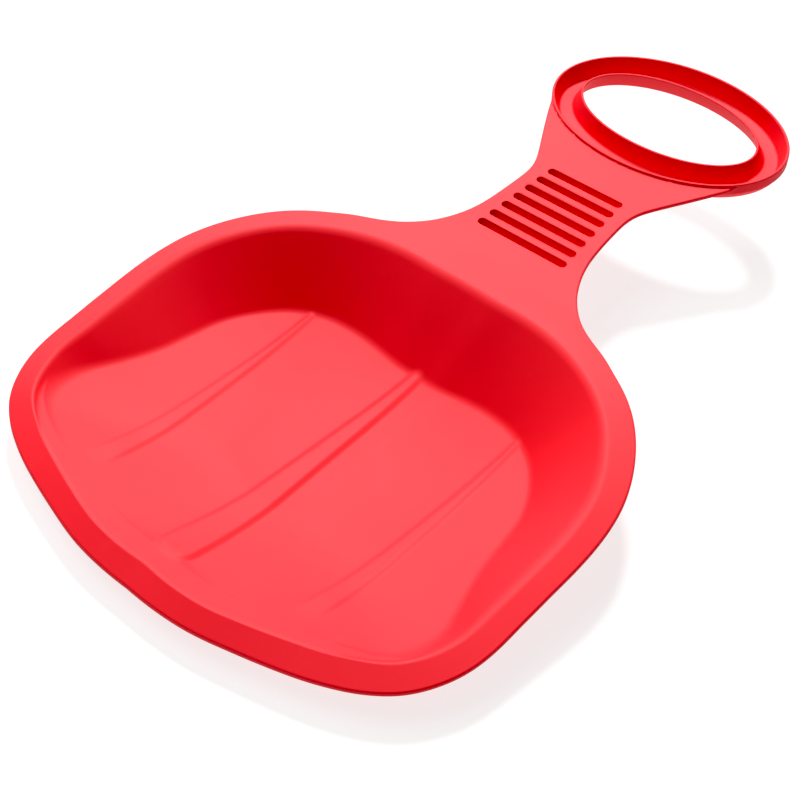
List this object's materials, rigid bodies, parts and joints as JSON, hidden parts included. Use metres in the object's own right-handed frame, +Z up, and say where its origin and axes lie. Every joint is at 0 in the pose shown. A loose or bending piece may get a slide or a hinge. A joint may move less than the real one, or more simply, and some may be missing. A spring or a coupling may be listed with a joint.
{
  "type": "snow slider sled",
  "caption": "Shallow shovel-shaped plastic snow slider: seat pan with raised floor ridges and a flange all round, a grooved neck and an oval hand grip ring.",
  "frame": {"origin": "centre of the bounding box in plan, on the ground under the pan's flat floor", "axes": "+Y from the rear of the pan towards the grip ring, +Z up, +X to the right of someone sitting on it and facing the grip"},
  "size_m": [0.3698, 0.5658, 0.0763],
  "materials": {
    "plastic": "satin red moulded plastic"
  },
  "bodies": {
    "root": {"seat_floor": "plastic", "ridge_left": "plastic", "ridge_centre": "plastic", "ridge_right": "plastic", "pan_wall": "plastic", "rim_flange": "plastic", "handle_neck": "plastic", "grip_ring": "plastic"}
  },
  "joints": []
}
